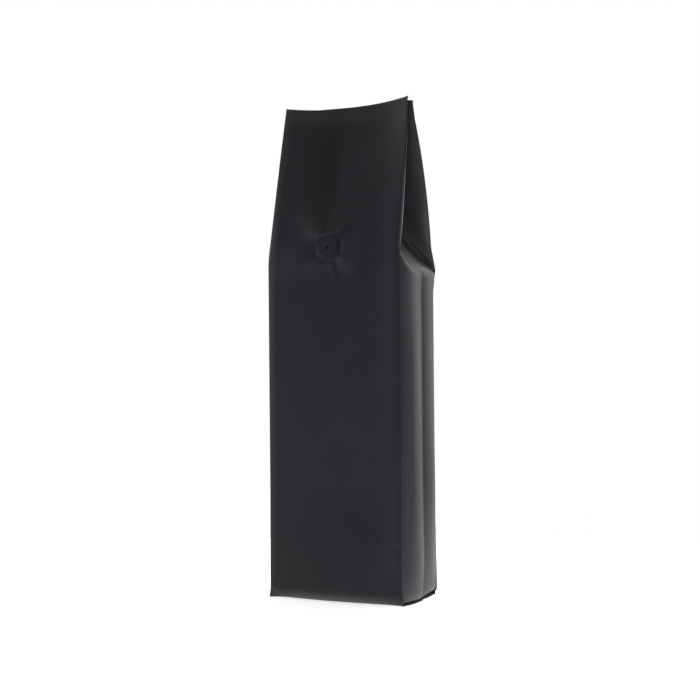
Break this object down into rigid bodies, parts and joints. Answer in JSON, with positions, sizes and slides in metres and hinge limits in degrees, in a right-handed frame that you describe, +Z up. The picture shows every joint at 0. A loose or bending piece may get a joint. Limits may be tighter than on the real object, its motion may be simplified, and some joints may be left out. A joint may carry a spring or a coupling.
{
  "type": "side gusset coffee pouch",
  "caption": "Filled side gusset film pouch with a heat-sealed gable top, folded-in side gussets, a flat folded base and a round one-way degassing valve in the front panel.",
  "frame": {"origin": "on the floor under the middle of the base", "axes": "+Z up, front panel with the valve facing -Y, +X to the right of someone who looks at the front"},
  "size_m": [0.0954, 0.0604, 0.2904],
  "materials": {
    "film": "matte",
    "valve": "matte"
  },
  "bodies": {
    "root": {"pouch": "film", "valve": "valve"}
  },
  "joints": []
}
